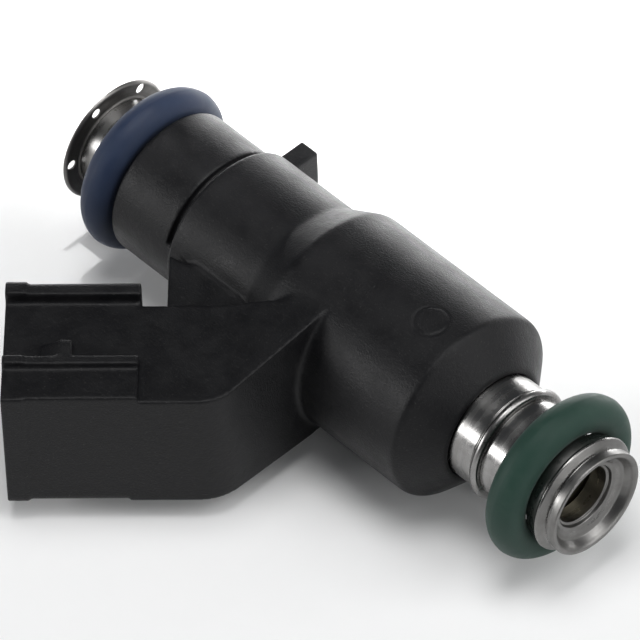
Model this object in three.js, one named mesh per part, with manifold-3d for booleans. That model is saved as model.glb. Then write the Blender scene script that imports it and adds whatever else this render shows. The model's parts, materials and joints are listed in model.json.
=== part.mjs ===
// Top-feed port fuel injector with a connector that leaves at an angle of about 45 degrees.
//
// Millimetres. The injector lies on its side: the X axis is the injector's own axis and +X points
// to the spray tip. The origin is on that axis, in the plane of the tip's end rim. The connector
// leaves towards -X and -Y, and +Z is square to the plane of symmetry of the moulding.
//
// A "station" is the distance from the tip rim towards the fuel inlet, so x = -station.

import * as THREE from 'three';
import { mergeVertices } from 'three/addons/utils/BufferGeometryUtils.js';
import Module from 'manifold-3d';

const wasm = await Module();
wasm.setup();

// ---------------------------------------------------------------- driving dimensions

const OUTER_SEGMENTS = 48;
const INNER_SEGMENTS = 32;
const TURNED_SEGMENTS = 40;
const SMALL_SEGMENTS = 20;
const DRILL_SEGMENTS = 12;
const CURVE_STEPS = 3;

const GAP = 0.3;
const RUNNING_CLEARANCE = 0.08;

const O_RING = {
  ringRadius: 5.72, sectionRadius: 1.56, upperStation: 49.9, lowerStation: 4.1,
  sectionSides: 16, ringSegments: 36,
};

const TIP = {
  rimRadius: 4.62, rimWidth: 0.38, rimRound: 0.08, bandLength: 0.75, grooveRadius: 4.36, grooveWidth: 0.12,
  bevelStation: 1.55, bevelRadius: 5.1, bevelRound: 0.1, backStation: 1.85, backRadius: 4.7,
  webEnd: 2.2, skirtEnd: 2.75, skirtBore: 4.05,
  mouthRadius: 4.16, coneEnd: 0.75, coneRadius: 3.75, ledgeStation: 1.1, ledgeRadius: 3.15,
  landRadius: 2.85, stepStation: 1.45, stepRadius: 2.77, boreRadius: 2.55,
  spigotRadius: 3.15, spigotEnd: 3.1,
};

const VALVE_BODY = {
  start: 2.5, end: 20.8, neckRadius: 3.9, shoulderStation: 5.75, shoulderLength: 0.15, tubeRadius: 4.35,
  beadStart: 8.3, beadEnd: 9.1, beadRadius: 4.95, beadRound: 0.2, upperRadius: 4.62, boreRadius: 3.45,
};

const BODY = {
  endStation: 11.4, endRadius: 5.0, coneEnd: 14.1, radius: 8.2, coreRadius: 3.0,
  shoulderStart: 29.5, shoulderEnd: 32.4, middleRadius: 6.9,
  slotStart: 41.0, slotEnd: 41.75, slotFloorRadius: 5.9, slotBridgeDegrees: 36,
  upperRadius: 6.35, topStation: 48.0, edgeRound: 0.5,
};

const LUG = {
  start: 40.6, end: 42.4, outerRadius: 9.35, halfHeight: 1.75, root: 4.9, crown: 0.5, chamfer: 0.3,
};

const CONNECTOR = {
  angleDegrees: 45.5, axisStation: 16.75, mouth: 33.95, back: 23.4,
  width: 11.9, height: 12.6, corner: 0.7, wall: 1.3, cavityDepth: 9.0,
  collarLength: 1.7, collarProud: 0.12,
  channelDepth: 1.0, farRailWidth: 1.5, nearRailWidth: 4.1, nearStepWidth: 0.9, nearStepDepth: 0.5,
};

// The nib on the channel floor that the plug's latch snaps over.
const LATCH = {
  setback: 3.0, length: 2.4, width: 1.7, height: 1.0,
  toe: 0.2, rampLength: 1.44, root: 0.5, sideRoot: 0.05,
};

const NECK = {
  farEdge: -4.15, bottom: -6.2, faceStation: 24.6, cornerSetback: 1.8, rootY: -4.5, rootAlong: 10.0,
  roofAtBody: 6.75, roofAtBodyAlong: 9.0, roofAtShroud: 5.3, roofAtShroudAlong: 16.8,
  shelfEnd: 21.55, shelfHalfHeight: 2.8, shelfReach: -11.8, shelfRootStation: 30.0, reach: 10.0,
};

const TUBE = { radius: 3.95, boreRadius: 3.2, start: 30.6, end: 54.55, chamfer: 0.15 };

const FLANGE = {
  radius: 5.42, boreRadius: 4.05, collarWall: 0.06, sweep: 0.18,
  webStart: 54.22, webEnd: 54.42, edgeRound: 0.28, rimWidth: 0.22,
  holeCount: 6, holeCircleRadius: 4.75, holeRadius: 0.42, firstHoleDegrees: 52.5,
};

const POLE = {
  faceStation: 26.3, radius: 3.55, stepStation: 30.3, spigotRadius: 2.85, end: 36.5, boreRadius: 1.95,
};
const ARMATURE = {
  start: 20.6, end: 26.05, radius: 3.3, chamfer: 0.2, boreRadius: 1.25,
  springPocketRadius: 1.9, springPocketStart: 24.2,
};
const NEEDLE = {
  start: 7.62, end: 24.0, radius: 1.2, boreRadius: 0.75, portRadius: 0.45, portStation: 10.12,
};
const BALL = { station: 6.1, radius: 1.45, segments: 24, rings: 14 };
const SEAT = {
  start: 3.95, end: 6.6, radius: 3.15, orificeRadius: 0.55, coneHalfDegrees: 45, mouthClearance: 0.35,
};
const GUIDE = {
  start: 6.9, end: 7.55, radius: 3.15, flowHoles: 4, flowHoleRadius: 0.5, flowCircleRadius: 2.3,
  firstHoleDegrees: 45,
};
const PLATE = {
  start: 3.4, end: 3.65, radius: 3.15, holes: 4, holeRadius: 0.15, holeCircleRadius: 0.9,
  firstHoleDegrees: 45,
};
const SLEEVE = {
  start: 21.1, end: 30.0, radius: 4.25, wall: 0.35, pocketTaperStart: 32.3, pocketTaperEnd: 32.8,
};

const COIL = {
  start: 15.4, end: 27.4, radius: 6.35, boreRadius: 4.95, flange: 0.8, coreWall: 0.4,
  windingRadius: 6.1, windingGap: 0.1,
};
const CAN = { start: 14.6, end: 28.0, radius: 7.2, wall: 0.5, floor: 0.5, chamfer: 0.3 };
const UPPER_WASHER = { start: 28.3, end: 29.1, radius: 7.0, boreRadius: 4.55 };

const SPRING = { start: 24.35, end: 30.9, radius: 1.45, wireRadius: 0.19, turns: 7, stepsPerTurn: 12 };
const ADJUSTER = { start: 31.1, end: 35.6, radius: 1.7, boreRadius: 1.05 };
const FILTER = {
  start: 37.0, end: 53.2, rimRadius: 2.95, rimLength: 1.6, screenRadius: 2.3, wall: 0.35, floor: 0.6,
  chamfer: 0.3, ribs: 4, windowWidth: 1.8, windowMargin: 1.2,
};

const TERMINAL = {
  pitch: 4.5, bladeWidth: 1.5, stripWidth: 1.0, thickness: 0.64, recess: 2.6,
  leadIn: 0.8, coilClearance: 0.4, bladeRoot: 0.4, floorClearance: 0.1,
};
const TERMINAL_ROUTES = {
  near: { side: 1, legY: -6.5, bendX: -30.2 },
  far: { side: -1, legY: -5.2, bendX: -32.0 },
};

// ---------------------------------------------------------------- materials

function material(color, roughness, metalness) {
  return new THREE.MeshStandardMaterial({ color, roughness, metalness });
}

const blackPlastic = () => material(0x1b1b1d, 0.62, 0);
const brownPlastic = () => material(0x5a4a3a, 0.6, 0);
const whitePlastic = () => material(0xc9c6bb, 0.55, 0);
const blueRubber = () => material(0x2f4260, 0.5, 0);
const greenRubber = () => material(0x3c5f52, 0.55, 0);
const turnedSteel = () => material(0xb4b2ae, 0.22, 1);
const darkSteel = () => material(0x6c6a66, 0.35, 1);
const copper = () => material(0xb4632e, 0.35, 1);
const tinnedBrass = () => material(0xb9b0a0, 0.3, 1);

const injector = new THREE.Group();

function addPart(name, geometry, finish) {
  const mesh = new THREE.Mesh(geometry, finish);
  mesh.name = name;
  injector.add(mesh);
}

// ---------------------------------------------------------------- geometry helpers

// Joins shared vertices and drops the empty triangles that a lathe leaves on its axis.
function closed(geometry) {
  const bare = geometry.clone();
  bare.deleteAttribute('normal');
  bare.deleteAttribute('uv');
  const merged = mergeVertices(bare, 1e-5);
  const source = merged.index.array;
  const kept = [];
  for (let i = 0; i < source.length; i += 3) {
    const [a, b, c] = [source[i], source[i + 1], source[i + 2]];
    if (a !== b && b !== c && c !== a) kept.push(a, b, c);
  }
  merged.setIndex(kept);
  return merged;
}

function toSolid(geometry) {
  const mesh = closed(geometry);
  return new wasm.Manifold(new wasm.Mesh({
    numProp: 3,
    vertProperties: new Float32Array(mesh.attributes.position.array),
    triVerts: new Uint32Array(mesh.index.array),
  }));
}

function toGeometry(solid) {
  const mesh = solid.getMesh();
  const geometry = new THREE.BufferGeometry();
  geometry.setAttribute('position', new THREE.BufferAttribute(new Float32Array(mesh.vertProperties), 3));
  geometry.setIndex(new THREE.BufferAttribute(new Uint32Array(mesh.triVerts), 1));
  return geometry;
}

const joined = (...geometries) => toGeometry(geometries.map(toSolid).reduce((sum, next) => sum.add(next)));
const cut = (body, ...tools) => toGeometry(
  tools.map(toSolid).reduce((rest, tool) => rest.subtract(tool), toSolid(body)));

// A turned part about the injector axis. The outline lists [station, radius], out along the outer
// wall and back along the bore.
function turned(outline, segments = INNER_SEGMENTS) {
  const points = outline.map(([station, radius]) => new THREE.Vector2(radius, station));
  points.push(points[0].clone());
  return closed(new THREE.LatheGeometry(points, segments).rotateZ(Math.PI / 2));
}

function sleeve(start, end, outer, bore, segments = INNER_SEGMENTS) {
  return turned([[start, bore], [start, outer], [end, outer], [end, bore]], segments);
}

function disc(start, end, radius, segments = INNER_SEGMENTS) {
  return turned([[start, 0], [start, radius], [end, radius], [end, 0]], segments);
}

// Points on an arc of an outline, as [station, radius] pairs.
function arc(station, radius, size, fromDegrees, toDegrees, steps) {
  const points = [];
  for (let i = 0; i <= steps; i += 1) {
    const angle = THREE.MathUtils.degToRad(fromDegrees + (toDegrees - fromDegrees) * i / steps);
    points.push([station + size * Math.cos(angle), radius + size * Math.sin(angle)]);
  }
  return points;
}

// The points of an outline corner eased into a short curve, for the corner between two others.
function eased(before, corner, after, distance) {
  const [start, middle, end] = [before, corner, after].map(([x, y]) => new THREE.Vector2(x, y));
  const from = middle.clone().add(start.sub(middle).setLength(distance));
  const to = middle.clone().add(end.sub(middle).setLength(distance));
  return new THREE.QuadraticBezierCurve(from, middle, to).getPoints(CURVE_STEPS).map(({ x, y }) => [x, y]);
}

// Round pins parallel to the injector axis on a circle, used as drills.
function drills(count, circleRadius, radius, start, end, firstDegrees) {
  const pins = [];
  for (let i = 0; i < count; i += 1) {
    const angle = THREE.MathUtils.degToRad(firstDegrees) + 2 * Math.PI * i / count;
    const pin = disc(start, end, radius, DRILL_SEGMENTS);
    pin.translate(0, circleRadius * Math.cos(angle), circleRadius * Math.sin(angle));
    pins.push(pin);
  }
  return pins;
}

function block(xRange, yRange, zRange) {
  const size = [xRange, yRange, zRange].map(([low, high]) => high - low);
  const middle = [xRange, yRange, zRange].map(([low, high]) => (high + low) / 2);
  return new THREE.BoxGeometry(...size).translate(...middle);
}

// A flat outline in the symmetry plane, extruded to both sides of it.
function plate(points, lowZ, highZ) {
  const shape = new THREE.Shape(points.map(([x, y]) => new THREE.Vector2(x, y)));
  const geometry = new THREE.ExtrudeGeometry(shape, { depth: highZ - lowZ, bevelEnabled: false });
  return geometry.translate(0, 0, lowZ);
}

// The connector's own frame: "along" runs from the injector axis out to the mouth, "across" is in
// the symmetry plane and grows towards the spray tip, and Z is shared.
const connectorTurn = THREE.MathUtils.degToRad(180 + CONNECTOR.angleDegrees);

function inConnector(geometry) {
  return geometry.rotateZ(connectorTurn).translate(-CONNECTOR.axisStation, 0, 0);
}

function connectorPoint(along, across) {
  const point = new THREE.Vector3(along, across, 0);
  point.applyAxisAngle(new THREE.Vector3(0, 0, 1), connectorTurn);
  return [point.x - CONNECTOR.axisStation, point.y];
}

// A bar along the connector with rounded long edges.
function roundedBar(alongRange, acrossRange, zRange, corner) {
  const [lowY, highY] = acrossRange;
  const [lowZ, highZ] = zRange;
  const shape = new THREE.Shape();
  shape.moveTo(lowY + corner, lowZ);
  shape.lineTo(highY - corner, lowZ);
  shape.absarc(highY - corner, lowZ + corner, corner, -Math.PI / 2, 0);
  shape.absarc(highY - corner, highZ - corner, corner, 0, Math.PI / 2);
  shape.absarc(lowY + corner, highZ - corner, corner, Math.PI / 2, Math.PI);
  shape.absarc(lowY + corner, lowZ + corner, corner, Math.PI, 1.5 * Math.PI);
  const depth = alongRange[1] - alongRange[0];
  const settings = { depth, bevelEnabled: false, curveSegments: CURVE_STEPS };
  const geometry = new THREE.ExtrudeGeometry(shape, settings);
  // The shape's x is "across" and its y is Z, and the extrusion runs along the connector.
  geometry.applyMatrix4(new THREE.Matrix4().set(0, 0, 1, 0, 1, 0, 0, 0, 0, 1, 0, 0, 0, 0, 0, 1));
  return geometry.translate(alongRange[0], 0, 0);
}

// ---------------------------------------------------------------- moulded body and connector

function barrel() {
  const round = BODY.edgeRound;
  const coneFoot = [BODY.endStation, BODY.endRadius];
  const coneTop = [BODY.coneEnd, BODY.radius];
  const shoulderFoot = [BODY.shoulderStart, BODY.radius];
  const shoulderTop = [BODY.shoulderEnd, BODY.middleRadius];
  const slotEdge = [BODY.slotStart, BODY.middleRadius];
  return turned([
    [BODY.endStation, BODY.coreRadius],
    coneFoot,
    ...eased(coneFoot, coneTop, shoulderFoot, round),
    ...eased(coneTop, shoulderFoot, shoulderTop, round),
    ...eased(shoulderFoot, shoulderTop, slotEdge, round),
    slotEdge,
    [BODY.slotStart + round / 2, BODY.upperRadius],
    [BODY.topStation - round / 2, BODY.upperRadius],
    [BODY.topStation, BODY.upperRadius - round / 2],
    [BODY.topStation, BODY.coreRadius],
  ], OUTER_SEGMENTS);
}

// The clip slot runs round the barrel except for a bridge on the connector's side.
function clipSlot() {
  const ring = sleeve(BODY.slotStart, BODY.slotEnd, BODY.radius, BODY.slotFloorRadius, OUTER_SEGMENTS);
  const halfBridge = THREE.MathUtils.degToRad(BODY.slotBridgeDegrees / 2);
  const reach = 2 * BODY.radius;
  const side = reach * Math.tan(halfBridge);
  const wedge = new THREE.Shape([
    new THREE.Vector2(0, 0), new THREE.Vector2(-reach, -side), new THREE.Vector2(-reach, side),
  ]);
  const bridge = new THREE.ExtrudeGeometry(wedge, { depth: 2, bevelEnabled: false });
  // The wedge's x becomes Y, its y becomes Z, and its depth lies along X.
  bridge.applyMatrix4(new THREE.Matrix4().set(0, 0, 1, 0, 1, 0, 0, 0, 0, 1, 0, 0, 0, 0, 0, 1));
  bridge.translate(-BODY.slotEnd - 0.5, 0, 0);
  return cut(ring, bridge);
}

function lug() {
  const top = block(
    [-LUG.end, -LUG.start], [LUG.root, LUG.outerRadius - LUG.crown], [-LUG.halfHeight, LUG.halfHeight]);
  const tip = block(
    [-LUG.end + LUG.chamfer, -LUG.start], [LUG.root, LUG.outerRadius],
    [-LUG.halfHeight + LUG.chamfer, LUG.halfHeight - LUG.chamfer]);
  return joined(top, tip);
}

// Everything above the neck's roof, which falls from the barrel to the level of the latch channel.
function aboveNeckRoof() {
  const slope = (NECK.roofAtBody - NECK.roofAtShroud) / (NECK.roofAtShroudAlong - NECK.roofAtBodyAlong);
  const profile = new THREE.Shape([
    new THREE.Vector2(0, NECK.roofAtBody + slope * NECK.roofAtBodyAlong),
    new THREE.Vector2(NECK.roofAtShroudAlong, NECK.roofAtShroud),
    new THREE.Vector2(CONNECTOR.mouth, NECK.roofAtShroud),
    new THREE.Vector2(CONNECTOR.mouth, 2 * NECK.roofAtBody),
    new THREE.Vector2(0, 2 * NECK.roofAtBody),
  ]);
  const geometry = new THREE.ExtrudeGeometry(profile, { depth: 2 * NECK.reach, bevelEnabled: false });
  // The profile's y becomes Z and its depth runs across the connector.
  return inConnector(geometry.rotateX(Math.PI / 2).translate(0, NECK.reach, 0));
}

function neck() {
  const half = CONNECTOR.width / 2;
  const turn = THREE.MathUtils.degToRad(CONNECTOR.angleDegrees);
  const faceX = -NECK.faceStation;
  const overlap = CONNECTOR.back + 1;
  // Where the connector's tip-side face meets the boss face that is square to the injector axis.
  const cornerAlong = (-faceX - CONNECTOR.axisStation + half * Math.sin(turn)) / Math.cos(turn);
  const [, cornerY] = connectorPoint(cornerAlong, half);
  const roundCorner = new THREE.QuadraticBezierCurve(
    new THREE.Vector2(...connectorPoint(cornerAlong + NECK.cornerSetback, half)),
    new THREE.Vector2(faceX, cornerY),
    new THREE.Vector2(faceX, cornerY + NECK.cornerSetback));
  const plateau = [
    [faceX, NECK.rootY],
    ...roundCorner.getPoints(CURVE_STEPS).reverse().map((point) => [point.x, point.y]),
    connectorPoint(overlap, half),
    connectorPoint(overlap, NECK.farEdge),
    connectorPoint(NECK.rootAlong, NECK.farEdge),
  ];
  const shelf = [
    connectorPoint(NECK.shelfEnd, 0),
    connectorPoint(NECK.shelfEnd, NECK.shelfReach),
    [-NECK.shelfRootStation, NECK.rootY],
    connectorPoint(NECK.rootAlong, 0),
  ];
  return joined(
    cut(plate(plateau, NECK.bottom, NECK.roofAtBody + 1), aboveNeckRoof()),
    plate(shelf, -NECK.shelfHalfHeight, NECK.shelfHalfHeight));
}

function shroud() {
  const half = CONNECTOR.width / 2;
  const top = CONNECTOR.height / 2;
  const { mouth, back, corner, collarLength, collarProud: proud } = CONNECTOR;
  const body = roundedBar([back, mouth], [-half, half], [-top, top], corner);
  const collar = roundedBar(
    [mouth - collarLength, mouth], [-half - proud, half + proud], [-top - proud, top + proud], corner);
  const channel = block(
    [back - 1, mouth + 1],
    [-half + CONNECTOR.farRailWidth, half - CONNECTOR.nearRailWidth],
    [top - CONNECTOR.channelDepth, top + 1]);
  const step = block(
    [back - 1, mouth + 1],
    [half - CONNECTOR.nearRailWidth + CONNECTOR.nearStepWidth, half + 1],
    [top - CONNECTOR.nearStepDepth, top + 1]);
  return cut(joined(body, collar), channel, step);
}

function latchNib() {
  const front = CONNECTOR.mouth - LATCH.setback;
  const back = front - LATCH.length;
  const floor = CONNECTOR.height / 2 - CONNECTOR.channelDepth;
  const ramp = new THREE.Shape([
    new THREE.Vector2(back, floor - LATCH.root),
    new THREE.Vector2(front, floor - LATCH.root),
    new THREE.Vector2(front, floor + LATCH.toe),
    new THREE.Vector2(front - LATCH.rampLength, floor + LATCH.height),
    new THREE.Vector2(back, floor + LATCH.height),
  ]);
  const nearSide = CONNECTOR.width / 2 - CONNECTOR.nearRailWidth;
  const geometry = new THREE.ExtrudeGeometry(ramp, { depth: LATCH.width, bevelEnabled: false });
  // The ramp's y becomes Z and its depth runs across the connector.
  geometry.rotateX(Math.PI / 2);
  return geometry.translate(0, nearSide + LATCH.sideRoot, 0);
}

function connectorCavity() {
  const half = CONNECTOR.width / 2 - CONNECTOR.wall;
  const low = -CONNECTOR.height / 2 + CONNECTOR.wall;
  const high = CONNECTOR.height / 2 - CONNECTOR.channelDepth - CONNECTOR.wall;
  const alongRange = [CONNECTOR.mouth - CONNECTOR.cavityDepth, CONNECTOR.mouth + 1];
  return roundedBar(alongRange, [-half, half], [low, high], CONNECTOR.corner);
}

// The space inside the moulding for the coil, the tubes and the terminals.
function insert() {
  return turned([
    [BODY.endStation - 1, 0],
    [BODY.endStation - 1, VALVE_BODY.upperRadius + GAP],
    [CAN.start - GAP, VALVE_BODY.upperRadius + GAP],
    [CAN.start - GAP, CAN.radius + GAP],
    [UPPER_WASHER.end + GAP, CAN.radius + GAP],
    [UPPER_WASHER.end + GAP, SLEEVE.radius + GAP],
    [SLEEVE.pocketTaperStart, SLEEVE.radius + GAP],
    [SLEEVE.pocketTaperEnd, TUBE.radius + GAP],
    [BODY.topStation + 1, TUBE.radius + GAP],
    [BODY.topStation + 1, 0],
  ]);
}

// ---------------------------------------------------------------- terminals

// The outline of a strip of constant width along a bent centre line, with mitred corners.
function strip(centreLine, width) {
  const points = centreLine.map(([x, y]) => new THREE.Vector2(x, y));
  const left = [];
  const right = [];
  points.forEach((point, i) => {
    const before = points[Math.max(i - 1, 0)];
    const after = points[Math.min(i + 1, points.length - 1)];
    const directionIn = (i > 0 ? point.clone().sub(before) : after.clone().sub(point)).normalize();
    const isLast = i === points.length - 1;
    const directionOut = (isLast ? directionIn.clone() : after.clone().sub(point)).normalize();
    const mitre = directionIn.clone().add(directionOut).normalize();
    const reach = width / 2 / mitre.dot(directionIn);
    const offset = new THREE.Vector2(-mitre.y, mitre.x).multiplyScalar(reach);
    left.push([point.x + offset.x, point.y + offset.y]);
    right.unshift([point.x - offset.x, point.y - offset.y]);
  });
  return [...right.reverse(), ...left.reverse()];
}

// From the coil chamber a terminal rises along the axis, turns square out of the barrel, then
// turns again to run along the connector.
function terminalRoute({ side, legY, bendX }, startX, endAlong) {
  const across = side * TERMINAL.pitch / 2;
  const turn = THREE.MathUtils.degToRad(CONNECTOR.angleDegrees);
  const bendAlong = (-bendX - CONNECTOR.axisStation + across * Math.sin(turn)) / Math.cos(turn);
  return [
    [startX, legY], [bendX, legY], connectorPoint(bendAlong, across), connectorPoint(endAlong, across),
  ];
}

const cavityFloor = CONNECTOR.mouth - CONNECTOR.cavityDepth;
const terminalHalf = TERMINAL.thickness / 2;

function terminal(route) {
  const across = route.side * TERMINAL.pitch / 2;
  const tip = CONNECTOR.mouth - TERMINAL.recess;
  const shoulder = tip - TERMINAL.leadIn;
  const root = cavityFloor + TERMINAL.floorClearance;
  const halfBlade = TERMINAL.bladeWidth / 2;
  const bladeOutline = [
    [root, -halfBlade], [shoulder, -halfBlade], [tip, -halfBlade / 2],
    [tip, halfBlade / 2], [shoulder, halfBlade], [root, halfBlade],
  ].map(([along, offset]) => connectorPoint(along, across + offset));
  const line = terminalRoute(route, -UPPER_WASHER.end - TERMINAL.coilClearance, root + TERMINAL.bladeRoot);
  return joined(
    plate(strip(line, TERMINAL.stripWidth), -terminalHalf, terminalHalf),
    plate(bladeOutline, -terminalHalf, terminalHalf));
}

function terminalChannel(route) {
  const line = terminalRoute(route, -UPPER_WASHER.end, cavityFloor + TERMINAL.bladeRoot);
  return plate(strip(line, TERMINAL.stripWidth + 2 * GAP), -terminalHalf - GAP, terminalHalf + GAP);
}

// ---------------------------------------------------------------- outer parts

const moulding = cut(
  joined(cut(barrel(), clipSlot()), lug(), neck(), inConnector(shroud()), inConnector(latchNib())),
  inConnector(connectorCavity()),
  insert(),
  ...Object.values(TERMINAL_ROUTES).map(terminalChannel));
addPart('overmoulded_body', moulding, blackPlastic());

for (const [name, route] of Object.entries(TERMINAL_ROUTES)) {
  addPart(`${name}_terminal`, terminal(route), tinnedBrass());
}

// The ring's round section is listed once round, starting at the side nearest the tip.
function oRing(station) {
  const steps = O_RING.sectionSides - 1;
  const lastAngle = 180 - 360 * steps / O_RING.sectionSides;
  const section = arc(station, O_RING.ringRadius, O_RING.sectionRadius, 180, lastAngle, steps);
  return turned(section, O_RING.ringSegments);
}

addPart('lower_o_ring', oRing(O_RING.lowerStation), greenRubber());
addPart('upper_o_ring', oRing(O_RING.upperStation), blueRubber());

// From the rim outwards over the band, the groove, the bevel and the skirt that takes the end of the
// valve body tube, then back along the stepped bore.
addPart('tip_retainer', turned([
  [TIP.rimRound * 1.5, TIP.mouthRadius],
  [0, TIP.rimRadius - TIP.rimWidth + TIP.rimRound],
  [0, TIP.rimRadius - TIP.rimRound],
  [TIP.rimRound, TIP.rimRadius],
  [TIP.bandLength, TIP.rimRadius],
  [TIP.bandLength + TIP.rimRound, TIP.grooveRadius],
  [TIP.bandLength + TIP.rimRound + TIP.grooveWidth, TIP.grooveRadius],
  [TIP.bevelStation - TIP.bevelRound, TIP.bevelRadius - TIP.bevelRound / 2],
  [TIP.bevelStation + TIP.bevelRound, TIP.bevelRadius],
  [TIP.backStation - TIP.bevelRound / 2, TIP.bevelRadius - TIP.bevelRound],
  [TIP.backStation, TIP.backRadius],
  [TIP.skirtEnd, TIP.backRadius],
  [TIP.skirtEnd, TIP.skirtBore],
  [TIP.webEnd, TIP.skirtBore],
  [TIP.webEnd, TIP.spigotRadius],
  [TIP.spigotEnd, TIP.spigotRadius],
  [TIP.spigotEnd, TIP.boreRadius],
  [TIP.stepStation + TIP.bevelRound / 2, TIP.boreRadius],
  [TIP.stepStation, TIP.stepRadius],
  [TIP.ledgeStation + TIP.bevelRound / 2, TIP.landRadius],
  [TIP.ledgeStation, TIP.ledgeRadius],
  [TIP.coneEnd, TIP.coneRadius],
], TURNED_SEGMENTS), turnedSteel());

addPart('valve_body_tube', turned([
  [VALVE_BODY.start, VALVE_BODY.boreRadius],
  [VALVE_BODY.start, VALVE_BODY.neckRadius],
  [VALVE_BODY.shoulderStation, VALVE_BODY.neckRadius],
  [VALVE_BODY.shoulderStation + VALVE_BODY.shoulderLength, VALVE_BODY.tubeRadius],
  [VALVE_BODY.beadStart, VALVE_BODY.tubeRadius],
  [VALVE_BODY.beadStart + VALVE_BODY.beadRound, VALVE_BODY.beadRadius - VALVE_BODY.beadRound / 2],
  [(VALVE_BODY.beadStart + VALVE_BODY.beadEnd) / 2, VALVE_BODY.beadRadius],
  [VALVE_BODY.beadEnd - VALVE_BODY.beadRound, VALVE_BODY.beadRadius - VALVE_BODY.beadRound / 2],
  [VALVE_BODY.beadEnd, VALVE_BODY.upperRadius],
  [VALVE_BODY.end, VALVE_BODY.upperRadius],
  [VALVE_BODY.end, VALVE_BODY.boreRadius],
], TURNED_SEGMENTS), turnedSteel());

addPart('inlet_tube', turned([
  [TUBE.start, TUBE.boreRadius],
  [TUBE.start, TUBE.radius],
  [TUBE.end - TUBE.chamfer, TUBE.radius],
  [TUBE.end, TUBE.radius - TUBE.chamfer],
  [TUBE.end, TUBE.boreRadius + TUBE.chamfer],
  [TUBE.end - TUBE.chamfer, TUBE.boreRadius],
], TURNED_SEGMENTS), turnedSteel());

// A thin pierced disc with a rounded edge, swept out of the tube.
const flangeEnd = FLANGE.webStart + FLANGE.edgeRound;
const flangeBlank = turned([
  [FLANGE.webStart - FLANGE.sweep, FLANGE.boreRadius],
  ...arc(
    FLANGE.webStart - FLANGE.sweep, FLANGE.boreRadius + FLANGE.collarWall + FLANGE.sweep, FLANGE.sweep,
    -90, 0, CURVE_STEPS),
  ...arc(flangeEnd, FLANGE.radius - FLANGE.edgeRound, FLANGE.edgeRound, 180, 90, CURVE_STEPS),
  [flangeEnd, FLANGE.radius - FLANGE.rimWidth],
  [FLANGE.webEnd, FLANGE.radius - FLANGE.rimWidth],
  [FLANGE.webEnd, FLANGE.boreRadius],
], TURNED_SEGMENTS);
const flangeHoles = drills(
  FLANGE.holeCount, FLANGE.holeCircleRadius, FLANGE.holeRadius, FLANGE.webStart - 1, FLANGE.webEnd + 1,
  FLANGE.firstHoleDegrees);
addPart('inlet_flange_ring', cut(flangeBlank, ...flangeHoles), darkSteel());

// ---------------------------------------------------------------- solenoid

addPart('coil_can', turned([
  [CAN.start, VALVE_BODY.upperRadius + GAP / 2],
  [CAN.start, CAN.radius - CAN.chamfer],
  [CAN.start + CAN.chamfer, CAN.radius],
  [CAN.end, CAN.radius],
  [CAN.end, CAN.radius - CAN.wall],
  [CAN.start + CAN.floor, CAN.radius - CAN.wall],
  [CAN.start + CAN.floor, VALVE_BODY.upperRadius + GAP / 2],
]), darkSteel());

addPart('upper_flux_washer', sleeve(
  UPPER_WASHER.start, UPPER_WASHER.end, UPPER_WASHER.radius, UPPER_WASHER.boreRadius), darkSteel());

addPart('coil_bobbin', turned([
  [COIL.start, COIL.boreRadius],
  [COIL.start, COIL.radius],
  [COIL.start + COIL.flange, COIL.radius],
  [COIL.start + COIL.flange, COIL.boreRadius + COIL.coreWall],
  [COIL.end - COIL.flange, COIL.boreRadius + COIL.coreWall],
  [COIL.end - COIL.flange, COIL.radius],
  [COIL.end, COIL.radius],
  [COIL.end, COIL.boreRadius],
]), brownPlastic());

addPart('coil_winding', sleeve(
  COIL.start + COIL.flange + COIL.windingGap, COIL.end - COIL.flange - COIL.windingGap,
  COIL.windingRadius, COIL.boreRadius + COIL.coreWall + COIL.windingGap), copper());

addPart('nonmagnetic_sleeve', sleeve(
  SLEEVE.start, SLEEVE.end, SLEEVE.radius, SLEEVE.radius - SLEEVE.wall), turnedSteel());

addPart('pole_piece', turned([
  [POLE.faceStation, POLE.boreRadius],
  [POLE.faceStation, POLE.radius],
  [POLE.stepStation, POLE.radius],
  [POLE.stepStation, POLE.spigotRadius],
  [POLE.end, POLE.spigotRadius],
  [POLE.end, POLE.boreRadius],
]), darkSteel());

addPart('spring_adjuster', sleeve(
  ADJUSTER.start, ADJUSTER.end, ADJUSTER.radius, ADJUSTER.boreRadius, SMALL_SEGMENTS), turnedSteel());

class SpringPath extends THREE.Curve {
  getPoint(t) {
    const angle = 2 * Math.PI * SPRING.turns * t;
    const x = -(SPRING.start + SPRING.wireRadius + t * (SPRING.end - SPRING.start - 2 * SPRING.wireRadius));
    return new THREE.Vector3(x, SPRING.radius * Math.cos(angle), SPRING.radius * Math.sin(angle));
  }
}

const wireSection = new THREE.Shape().absarc(0, 0, SPRING.wireRadius, 0, 2 * Math.PI);
addPart('return_spring', closed(new THREE.ExtrudeGeometry(wireSection, {
  steps: SPRING.turns * SPRING.stepsPerTurn,
  extrudePath: new SpringPath(),
  curveSegments: CURVE_STEPS,
  bevelEnabled: false,
})), turnedSteel());

// ---------------------------------------------------------------- moving valve group

addPart('armature', turned([
  [ARMATURE.start, ARMATURE.boreRadius],
  [ARMATURE.start, ARMATURE.radius - ARMATURE.chamfer],
  [ARMATURE.start + ARMATURE.chamfer, ARMATURE.radius],
  [ARMATURE.end - ARMATURE.chamfer, ARMATURE.radius],
  [ARMATURE.end, ARMATURE.radius - ARMATURE.chamfer],
  [ARMATURE.end, ARMATURE.springPocketRadius],
  [ARMATURE.springPocketStart, ARMATURE.springPocketRadius],
  [ARMATURE.springPocketStart, ARMATURE.boreRadius],
]), darkSteel());

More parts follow.
